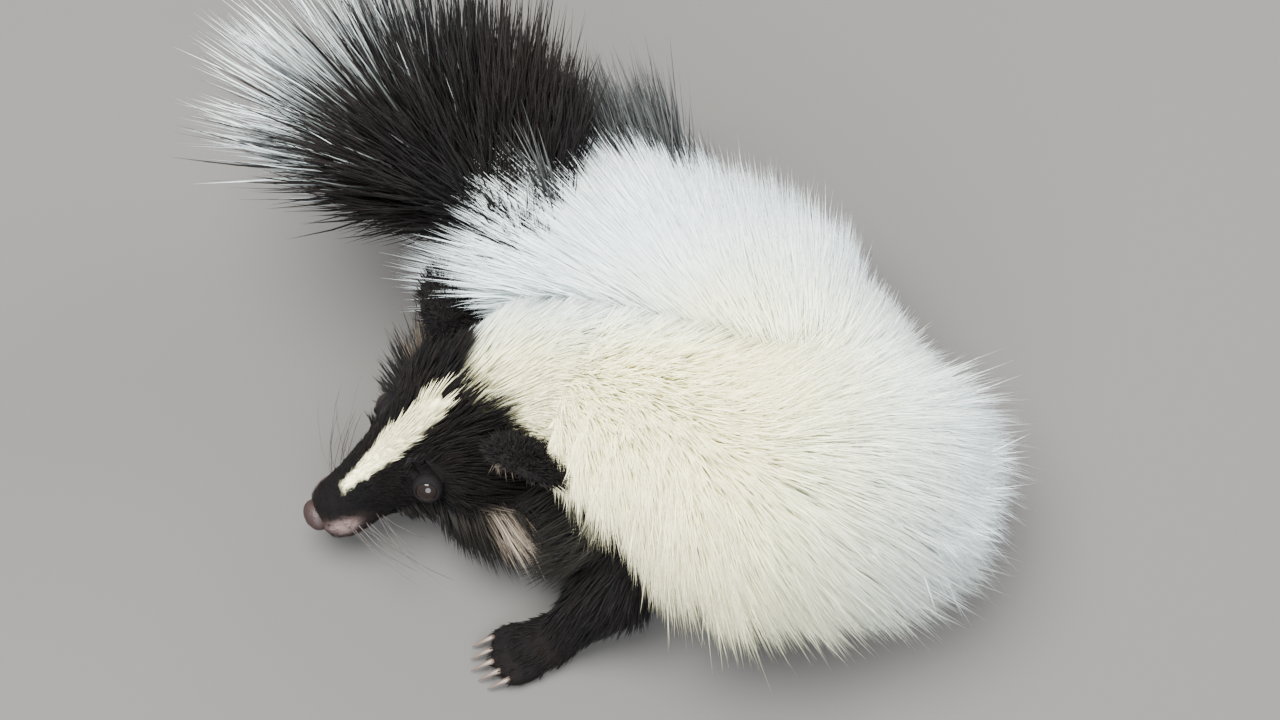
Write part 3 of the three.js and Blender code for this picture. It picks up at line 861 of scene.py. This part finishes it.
def head_colours(roots, tips):
    white = whiteness(roots)
    # Roots are painted darker than tips, most of all on white hair: painted shade deep in the coat.
    low = coat_colour(roots, white) * mix(0.9, 0.6, white)[:, None]
    high = coat_colour(roots, white) * rng.uniform(0.85, 1.1, (len(roots), 1))
    high = mix(high, MUZZLE_SKIN * 1.1, bare_muzzle(roots)[:, None] * 0.7)
    # Tufts over the lip carry the painted lip highlight too.
    high = mix(high, MUZZLE_HIGHLIGHT, painted_lip_highlight(roots)[:, None] * 0.8)
    q = into_head(roots)
    q[:, 1] = np.abs(q[:, 1])
    # Painted highlight on the top of the brow.
    brow = smooth(np.linalg.norm(q - BROW_HIGHLIGHT_AT, axis=1), 4.5, 1.5)
    high = mix(high, BROW_HIGHLIGHT, brow[:, None] * 0.8)
    return low, mix(high, TAN * rng.uniform(0.6, 1.1, (len(roots), 1)), below_ear(tips)[:, None] * 0.85)


# %% Coat of head and neck
HEAD_WIDTH = 0.62
HEAD_LINE, NO_FLESH = from_head([(0, 0, 0), (-35, 0, 0), (-75, 0, 0)]), np.zeros(3)


def head_coat(name, chosen, count):
    roots = scatter(chosen, count)
    out = field_slope(roots, body_field)
    q = into_head(roots)
    behind = -q[:, 0]
    back = HEAD @ row(-1, 0, -0.12)
    flow = unit(mix(back[None], trunk_lie(roots)[0], smooth(behind, 56, 80)[:, None]))
    flow = unit(flow - out * np.sum(flow * out, axis=1, keepdims=True))
    ruff = smooth(-q[:, 2], -5, 8) * smooth(behind, 30, 48)
    stand = mix(0.28, 0.75, smooth(behind, 10, 66)) + 0.9 * ruff
    way = unit(out * stand[:, None] + flow + 0.12 * rng.normal(size=(count, 3)))
    length = mix(1.5, 10.5, smooth(behind, 4, 62)) * rng.uniform(0.75, 1.2, count)
    length *= 1 + 0.85 * ruff
    length *= mix(0.35, 1, smooth(ear_distance(roots), 8, 16))
    curl = flow * 0.1 + row(0, 0, -0.12) * smooth(behind, 30, 70)[:, None]
    colours = head_colours(roots, roots + way * length[:, None])
    wide = HEAD_WIDTH * mix(0.34, 1.0, smooth(behind, 5, 55)) * rng.uniform(0.7, 1.2, count)
    uv = unwrap(roots, HEAD_LINE, NO_FLESH)
    coat_piece(name, roots - out * 0.3, way, curl, length, wide, colours, uv, 2, 6, 0.25)


q_centres = into_head(centres)
fine_face = mix(5.0, 1.0, smooth(-q_centres[:, 0], 6, 46))
head_coat("coat_head", (region == ON_HEAD) * fine_face * ~bare_face(centres), 17000)
head_coat("coat_neck", on_trunk & (place_of <= 3.9), 10500)

# %% [markdown]
# ## Ruff of throat and breast
# Cheeks and throat carry a loose ruff that hides the neck, and hair of the breast fills the corner between
# cheek and fore leg. Longer hair in the head's own piece would bend over the face, so these are pieces of
# their own, with roots only on the low side and a lie that points out and down.

# %% Ruff of the throat
count = 8000
low_head = (region == ON_HEAD) & (q_centres[:, 0] < -20) & (q_centres[:, 2] < 0)
low_neck = on_trunk & (place_of < 4.5) & (q_centres[:, 2] < -6) & (centres[:, 2] < 30)
roots = scatter(low_head | low_neck, count)
out = field_slope(roots, body_field)
q = into_head(roots)
sideways = np.stack([np.full(count, -0.3), np.clip(q[:, 1] / 9, -1, 1) * 0.9, np.full(count, -0.35)], axis=1)
way = unit(out * 0.8 + sideways @ HEAD.T + 0.14 * rng.normal(size=(count, 3)))
length = mix(4, 19, smooth(-q[:, 0], 20, 44)) * rng.uniform(0.75, 1.15, count)
curl = row(0, 0, -0.1) + 0.08 * rng.normal(size=(count, 3))
patch = below_ear(roots + way * length[:, None])[:, None] * 0.85
tip = mix(coat_colour(roots, 0.015 * rng.random(count)), TAN * rng.uniform(0.6, 1.1, (count, 1)), patch)
colours = coat_colour(roots, np.zeros(count)), tip
uv = unwrap(roots, HEAD_LINE, NO_FLESH)
wide = rng.uniform(0.4, 0.8, count)
coat_piece("coat_throat", roots - out * 0.4, way, curl, length, wide, colours, uv, 2)

# %% Breast between cheek and fore leg
count = 4500
BREAST_AT, BREAST_REACH = row(-8, 5, 24), 15
on_breast = (np.linalg.norm(centres - BREAST_AT, axis=1) < BREAST_REACH) & (centres[:, 2] < 34)
on_breast &= region != ON_HEAD
roots = scatter(on_breast & (whiteness(centres) < 0.5), count)
out = field_slope(roots, body_field)
way = unit(out * 0.45 + row(-0.8, -0.5, 0) + 0.16 * rng.normal(size=(count, 3)))
length = rng.uniform(10, 18, count)
colours = coat_colour(roots, np.zeros(count)), coat_colour(roots, 0.015 * rng.random(count))
uv = unwrap(roots, trunk_line, trunk_flesh)
curl = row(0, 0, -0.12) + 0.08 * rng.normal(size=(count, 3))
wide = rng.uniform(0.5, 0.9, count)
coat_piece("coat_breast", roots - out * 0.4, way, curl, length, wide, colours, uv, 2)

# %% [markdown]
# ## Tail coat
# The tail's bone is thin, and nearly all that shows is hair four to five centimetres long. One broad cone
# could give the outline, but not its open, airy edge. So the tufts fan up over the tail, hang shorter below
# it, and lie along it at the end, where they are white and sparse.

# %% Fan of the tail
count = 10000
tip_share = along_line(centres, tail_line, tail_flesh)[2] / (len(tail_line) - 1)
roots = scatter((region == ON_TAIL) * mix(1, 0.1, smooth(tip_share, 0.45, 0.8)), count)
out = field_slope(roots, body_field)
_, point, place = along_line(roots, tail_line, tail_flesh)
index = np.clip(place.astype(int), 0, len(tail_line) - 2)
along = unit(tail_line[index + 1] - tail_line[index])
share = place / (len(tail_line) - 1)
lift = (roots[:, 2] - point[:, 2]) / np.maximum(np.linalg.norm(roots - point, axis=1), 1)
above = np.interp(place, np.arange(len(tail_above)), tail_above)
below = np.interp(place, np.arange(len(tail_below)), tail_below)
depth = mix(below, above, smooth(lift, -0.5, 0.7))
facing_rump = smooth(out[:, 1], 0.45, -0.1) * smooth(share, 0.45, 0.2)
depth *= 1 - 0.65 * facing_rump
toward_tip = smooth(share, 0.4, 1.0)
lay = mix(0.12, 2.0, toward_tip) + 0.16 * rng.normal(size=count)
raised = (1 - toward_tip)[:, None] * row(0.05, 0.35, 0.3)
way = unit(out + along * lay[:, None] + raised + 0.15 * rng.normal(size=(count, 3)))
standing = np.maximum(np.sum(way * out, axis=1), 0.5)
length = np.clip(depth * rng.uniform(0.7, 1.1, count) / standing, 7, mix(50, 30, toward_tip))
curl = along * 0.2 + toward_tip[:, None] * row(0, 0.1, 0.15) + 0.09 * rng.normal(size=(count, 3))
pale_root, pale_tip = smooth(share, 0.78, 1.0), smooth(share + 0.08 * rng.normal(size=count), 0.54, 0.82)
# Roots are white near the end and black elsewhere, and painted darker than the tips: painted shade deep in
# the coat.
low = coat_colour(roots, pale_root) * mix(0.8, 0.7, pale_root)[:, None]
high = coat_colour(roots, pale_tip) * rng.uniform(0.85, 1.1, (count, 1))
wide = mix(0.75, 0.4, toward_tip) * rng.uniform(0.6, 1.2, count)
uv = unwrap(roots, tail_line, tail_flesh)
coat_piece("coat_tail", roots - out * 0.6, way, curl, length, wide, (low, high), uv, 3, 9, 0.45)

# %% [markdown]
# ## Leg and paw coat
# Legs and paws are black. Their hair is short and points down the limb, and over the toes it points
# forward. Each limb could have its own piece, but the lie can be read from the limb's bones, so one piece
# serves all four. The soles are bare.

# %% Legs
count = 8500
sole = (centres[:, 2] < 1.6) & (field_slope(centres, body_field)[:, 2] < -0.3)
roots = scatter((region == ON_LEGS) & ~sole, count)
out = field_slope(roots, body_field)
limb_of = np.argmin([limb_field(roots, name) for name in LEGS], axis=0)
downward = []
for bones, (x, y, heading) in LEGS.values():
    ahead = row(math.cos(math.radians(heading)), math.sin(math.radians(heading)), -0.2)
    downward.append((unit(row(*bones[2][:3]) - row(*bones[0][:3])), ahead))
down, ahead = (np.array([ways[k] for ways in downward])[limb_of] for k in range(2))
flow = np.where(roots[:, 2:] > 9, down, ahead)
flow = unit(flow - out * np.sum(flow * out, axis=1, keepdims=True))
way = unit(out * 0.4 + flow + 0.14 * rng.normal(size=(count, 3)))
length = mix(2.2, 7.5, smooth(roots[:, 2], 3, 22)) * rng.uniform(0.7, 1.2, count)
dark = np.zeros(count)
# Roots are painted darker than tips: painted shade deep in the coat.
colours = coat_colour(roots, dark) * 0.8, coat_colour(roots, dark) * rng.uniform(0.9, 1.6, (count, 1))
wide = mix(0.36, 0.8, smooth(roots[:, 2], 3, 22)) * rng.uniform(0.7, 1.2, count)
uv = unwrap(roots, row((0, 0, 0), (0, 0, 15), (0, 0, 30)), NO_FLESH)
coat_piece("coat_legs", roots - out * 0.25, way, way * 0, length, wide, colours, uv, 2, 6, 0.2)

# %% [markdown]
# ## Eyes
# The eye is small, round, dark and wet, set in a narrow rim of bare dark lid. An opening cut in the skin
# would need its edge stitched to the lid. A ball sunk in the flesh with a lid ring over it looks the same
# and stays simple. The ring is a profile turned round the line of sight.


# %% Round forms
def icosphere(radius, detail=4):
    bm = bmesh.new()
    bmesh.ops.create_icosphere(bm, subdivisions=detail, radius=radius)
    points = np.array([v.co[:] for v in bm.verts])
    faces = np.array([[v.index for v in f.verts] for f in bm.faces])
    bm.free()
    return points, faces


def tube(path, radii):
    sides = 8
    path = np.asarray(path, float)
    along = unit(np.gradient(path, axis=0))
    side = unit(np.cross(along, row(0.31, 0.17, 0.93)))
    up = np.cross(side, along)
    angles = np.arange(sides) * 2 * math.pi / sides
    rings = []
    for p, r, s, u in zip(path, radii, side, up):
        rings.append(p + r * (np.outer(np.cos(angles), s) + np.outer(np.sin(angles), u)))
    points = np.concatenate(rings)
    faces = walls(len(path), sides)
    for start in (0, (len(path) - 1) * sides):
        for c in range(1, sides - 1):
            tri = (start, start + c, start + c + 1)
            faces.append(tri if start else tri[::-1])
    return points, np.array(faces)


def gathered(parts):
    points, faces, offset = [], [], 0
    for p, f in parts:
        points.append(p)
        faces.append(f + offset)
        offset += len(p)
    return np.concatenate(points), np.concatenate(faces)


# %% Eyeballs and lids
LID_PROFILE = [(2.55, 2.3), (2.75, 2.72), (3.1, 2.65), (3.5, 2.0), (3.75, 1.0), (3.65, -0.3)]
BALL_INSET, EYE_SUNK, LID_POINTS = 0.3, 0.45, 48
for side, name in ((1, "eye_left"), (-1, "eye_right")):
    points, faces = icosphere(EYE_RADIUS - BALL_INSET)
    look = unit(HEAD @ row(0.32, side * 0.72, 0.62))
    centre = eye_centre(side) - look * EYE_SUNK
    piece(f"{name}_ball", points + centre, faces, row(0.01, 0.007, 0.006), eye_gloss, [name])
    level = unit(np.cross(look, HEAD @ row(0, 0, 1)))
    upright = np.cross(level, look)
    lids = []
    for (inner, low), (outer, high) in zip(LID_PROFILE, LID_PROFILE[1:]):
        lids += [(mix(inner, outer, t), mix(low, high, t)) for t in (0, 0.5)]
    lids.append(LID_PROFILE[-1])
    turns = np.linspace(0, 2 * math.pi, LID_POINTS, endpoint=False)
    flat = mix(0.84, 1.0, smooth(np.array([r for r, _ in lids]), 2.6, 3.7))
    points = []
    for (radius, height), squeeze in zip(lids, flat):
        wide, tall = np.cos(turns)[:, None] * radius, np.sin(turns)[:, None] * radius * squeeze
        points.append(centre + level * wide + upright * tall + look * height)
    around = np.arange(LID_POINTS)
    ahead = (around + 1) % LID_POINTS
    faces = []
    for start in np.arange(len(lids) - 1) * LID_POINTS:
        faces.append(start + np.stack([around, ahead, ahead + LID_POINTS, around + LID_POINTS], axis=1))
    lid_paint = row(0.005, 0.004, 0.0045)
    piece(f"{name}_lids", np.concatenate(points), np.concatenate(faces), lid_paint, skin)

# %% [markdown]
# ## Nose and lips
# The nose pad is broad and rounded over two comma-shaped nostrils, with a groove between them. It could be
# sculpted, but a few smooth pushes on a ball give the same form from named sizes. The lips are a thin dark
# line on each side, found by walking out from the middle of the mouth until the skin is met.

# %% Nose pad
NOSE_SIZE, NOSTRIL_DEPTH, GROOVE_DEPTH = row(3.0, 4.2, 3.2), 1.5, 0.5
points, faces = icosphere(1.0, 5)
shape = points * NOSE_SIZE
front = smooth(points[:, 0], 0.1, 0.8)
for side in (1, -1):
    reach = np.hypot(points[:, 1] - side * (0.42 + 0.12 * np.abs(points[:, 2])), (points[:, 2] + 0.02) * 1.25)
    shape[:, 0] -= NOSTRIL_DEPTH * smooth(reach, 0.3, 0.08) * front
shape[:, 0] -= GROOVE_DEPTH * smooth(np.abs(points[:, 1]), 0.1, 0.0) * front * (points[:, 2] < 0.4)
shape[:, 2] *= 1 - 0.18 * smooth(points[:, 2], 0, -1)
# The colour darkens with the depth of each nostril: painted shade in the dents.
nostril_shade = np.clip((points[:, 0] * NOSE_SIZE[0] - shape[:, 0]) / NOSTRIL_DEPTH, 0, 1)
colours = mix(row(0.024, 0.014, 0.013), row(0.005, 0.0035, 0.0035), nostril_shade[:, None])
piece("nose_pad", from_head(shape + row(-1.5, 0, 0.6)), faces, colours, nose_skin, ["nose"])

# %% Lips
LIP_POINTS, FRONT_OF_MOUTH, CORNER_OF_MOUTH = 24, -3.5, -25
reach = np.linspace(0, 24, 481)
thickness = np.interp(np.linspace(0, 1, LIP_POINTS), [0, 0.2, 0.9, 1], [0.3, 0.45, 0.4, 0.1])
lips = []
for side in (1, -1):
    path = []
    for x in np.linspace(FRONT_OF_MOUTH, CORNER_OF_MOUTH, LIP_POINTS):
        z = np.interp(-x, [-q[0] for q in LIP], [q[1] for q in LIP])
        line = from_head(np.stack([np.full(len(reach), x), side * reach, np.full(len(reach), z)], axis=1))
        outside = np.argmax(body_field(line) > 0)
        path.append(from_head((x, side * (reach[outside] + 0.05), z))[0])
    lips.append(tube(path, thickness))
points, faces = gathered(lips)
piece("lips", points, faces, row(0.03, 0.018, 0.017), nose_skin)

# %% [markdown]
# ## Ears
# The ear is a low round cup with a thick rim, black and furred behind, with a dusky tuft over its opening.
# It could be cut from a sheet, but a ball pressed in on one side keeps its thickness: the back stays round
# and the front sinks past the rim.


# %% Form of the ear
EAR_BACK, EAR_OUT = 1.6, 1.5


def ear_frame(side):
    tall = unit(row(-0.3, side * 0.86, 0.42))
    opening = row(0.8, side * 0.3, -0.42)
    opening = unit(opening - tall * (opening @ tall))
    basis = np.stack([np.cross(tall, opening), tall, opening], axis=1)
    return HEAD @ basis, from_head((EAR_AT[0] - EAR_BACK, side * (EAR_AT[1] + EAR_OUT), EAR_AT[2]))[0]


def ear_shape(u):
    size = u * row(EAR_ACROSS + 0.4, EAR_TALL + 0.8, EAR_THICK - 0.6)
    cup = np.clip(u[:, 2], 0, 1)
    hollow = EAR_THICK * (0.3 * smooth(cup, 0, 0.16) - 1.0 * smooth(cup, 0.16, 1))
    size[:, 2] = np.where(u[:, 2] > 0, hollow, size[:, 2])
    return size


# %% Ear cups and their hair
def ear_uv(u):
    return 0.03 + 0.9 * (u[:, :2] * 0.5 + 0.5)


for side, name in ((1, "ear_left"), (-1, "ear_right")):
    spin, place = ear_frame(side)
    u, faces = icosphere(1.0, 5)
    inside = smooth(u[:, 2], 0.12, 0.4)[:, None]
    colours = mix(row(0.006, 0.005, 0.005), row(0.05, 0.033, 0.028), inside)
    piece(f"{name}_cup", ear_shape(u) @ spin.T + place, faces, colours, skin, [name])
    count = 2200
    u = unit(rng.normal(size=(count, 3)))
    u[:, 2] = np.where(u[:, 2] > 0.25, -u[:, 2], u[:, 2])
    base = ear_shape(u) @ spin.T + place
    out = unit(u / row(EAR_ACROSS, EAR_TALL, EAR_THICK)) @ spin.T
    rim_way = (u * row(1, 1, 0)) @ spin.T
    way = unit(out * 0.8 + rim_way * 0.6 + spin @ row(0, 0.4, 0) + 0.18 * rng.normal(size=(count, 3)))
    length = rng.uniform(2.2, 4.4, count)
    pale = (smooth(u[:, 2], -0.05, 0.2) * rng.random(count))[:, None] * 0.25
    # Roots are painted darker than tips: painted shade deep in the ear's hair.
    low = np.tile(row(0.004, 0.0035, 0.0035), (count, 1))
    high = mix(row(0.006, 0.005, 0.005), row(0.08, 0.06, 0.045), pale)
    wide, uv = rng.uniform(0.25, 0.45, count), ear_uv(u)
    roots = base - out * 0.2
    coat_piece(f"coat_{name}", roots, way, way * 0, length, wide, (low, high), uv, 2, 6, 0.2)
    count = 420
    u = np.stack([rng.normal(0, 0.5, count), rng.normal(-0.45, 0.3, count), np.full(count, 0.7)], axis=1)
    u = unit(u)
    base = ear_shape(u) @ spin.T + place
    way = unit(spin @ row(0, 0.25, 1.0) + 0.35 * rng.normal(size=(count, 3)))
    dusky = TAN * rng.uniform(0.12, 0.3, (count, 1))
    wide = rng.uniform(0.25, 0.45, count)
    curl = 0.15 * rng.normal(size=(count, 3))
    length = rng.uniform(3, 6, count)
    # The tuft's roots are painted at half its colour: painted shade deep in the tuft.
    coat_piece(f"tuft_{name}", base, way, curl, length, wide, (dusky * 0.5, dusky), ear_uv(u), 3)

# %% [markdown]
# ## Claws and whiskers
# A skunk digs, so its fore claws are long and curved, and the hind ones shorter. Each is a tapered tube
# along a bent path, which is lighter than sculpted horn and looks the same at this size. Whiskers are
# single stiff hairs, thicker at the root, so the tuft builder makes them too.

# %% Claws
for name in LEGS:
    spin, place = paw_frame(name)
    fore = name.startswith("fore")
    claws = []
    for reach, aside in toes():
        s = np.linspace(0, 1, 7)
        span = CLAW * (1.0 if fore else 0.7)
        drop = TOE * 0.85 + 0.3 * s - 2.2 * s**2
        path = np.stack([reach + TOE * 1.15 + span * s, np.full(len(s), aside), drop], axis=1)
        claws.append(tube(path @ spin.T + place, 0.82 * (1 - s) ** 0.7 + 0.05))
    points, faces = gathered(claws)
    points[:, 2] = np.maximum(points[:, 2], 0.02)
    piece(f"claws_{name}", points, faces, row(0.09, 0.065, 0.05), horn)

# %% Whiskers
count = 26
side = np.where(np.arange(count) % 2, 1, -1)
back, aside, up = rng.uniform(-17, -7, count), rng.uniform(5.5, 7.5, count), rng.uniform(-3.5, 0.5, count)
base = from_head(np.stack([back, side * aside, up], axis=1))
base = base - (body_field(base) + 0.3)[:, None] * field_slope(base, body_field)
forward, up = rng.uniform(-0.5, 0.15, count), rng.uniform(-0.35, 0.2, count)
way = unit(np.stack([forward, side, up], axis=1)) @ HEAD.T
curl = row(0, 0, -0.15) + HEAD @ row(-0.3, 0, 0)
length, thick = rng.uniform(12, 24, count), np.full(count, 0.28)
points, faces, _ = tufts(base, way, np.tile(curl, (count, 1)), length, thick)
points[:, 2] = np.maximum(points[:, 2], ABOVE_FLOOR)
piece("whiskers", points, faces, row(0.05, 0.04, 0.035), horn)

# %% [markdown]
# ## Floor, light and camera
# A plain floor and three broad soft lights show the form without hard shadows: a key from above, a fill
# from the near side for the face, and a rim from the right. A sun lamp would burn out the white back. The
# camera looks down at 65 degrees from the near side, with the photo's angle and framing.

# %% Floor
REACH = 3
floor_mesh = bpy.data.meshes.new("floor")
floor_corners = [(-REACH, -REACH, 0), (REACH, -REACH, 0), (REACH, REACH, 0), (-REACH, REACH, 0)]
floor_mesh.from_pydata(floor_corners, [], [(0, 1, 2, 3)])
floor = bpy.data.objects.new("floor", floor_mesh)
bpy.context.scene.collection.objects.link(floor)
floor_finish, tree, shader = material("floor", Roughness=0.9)
shader.inputs["Base Color"].default_value = (0.075, 0.072, 0.068, 1)
floor_mesh.materials.append(floor_finish)

# %% Light
aim = metres(row(0, 40, 30))


def soft_light(name, at, size, power, colour):
    lamp = bpy.data.lights.new(name, "AREA")
    lamp.shape, lamp.size, lamp.energy, lamp.color = "DISK", size, power, colour
    made = bpy.data.objects.new(name, lamp)
    made.location = at
    made.rotation_euler = (Vector(aim) - Vector(at)).to_track_quat("-Z", "Y").to_euler()
    bpy.context.scene.collection.objects.link(made)


soft_light("key", (-0.22, 0.0, 1.1), 0.8, 58, (1, 0.99, 0.96))
soft_light("fill", (-0.05, -0.85, 0.6), 0.7, 18, (0.93, 0.96, 1))
soft_light("rim", (0.75, 0.45, 0.55), 0.6, 16, (1, 0.99, 0.96))
world = bpy.data.worlds.new("studio")
world.use_nodes = True
world.node_tree.nodes["Background"].inputs["Color"].default_value = (0.9, 0.93, 1, 1)
world.node_tree.nodes["Background"].inputs["Strength"].default_value = 1.1
bpy.context.scene.world = world
print("lamps:", [lamp.name for lamp in bpy.data.lights])

# %% Camera
SENSOR, VIEW_ANGLE, RAISED, DISTANCE = 36, math.radians(25), math.radians(65), 0.704
camera = bpy.data.objects.new("camera", bpy.data.cameras.new("camera"))
camera.data.sensor_width = SENSOR
camera.data.lens = SENSOR / 2 / math.tan(VIEW_ANGLE / 2)
camera.location = Vector(aim) + DISTANCE * Vector((0, -math.cos(RAISED), math.sin(RAISED)))
camera.rotation_euler = (Vector(aim) - camera.location).to_track_quat("-Z", "Y").to_euler()
bpy.context.scene.collection.objects.link(camera)
bpy.context.scene.camera = camera
print("camera lens in mm:", round(camera.data.lens, 1))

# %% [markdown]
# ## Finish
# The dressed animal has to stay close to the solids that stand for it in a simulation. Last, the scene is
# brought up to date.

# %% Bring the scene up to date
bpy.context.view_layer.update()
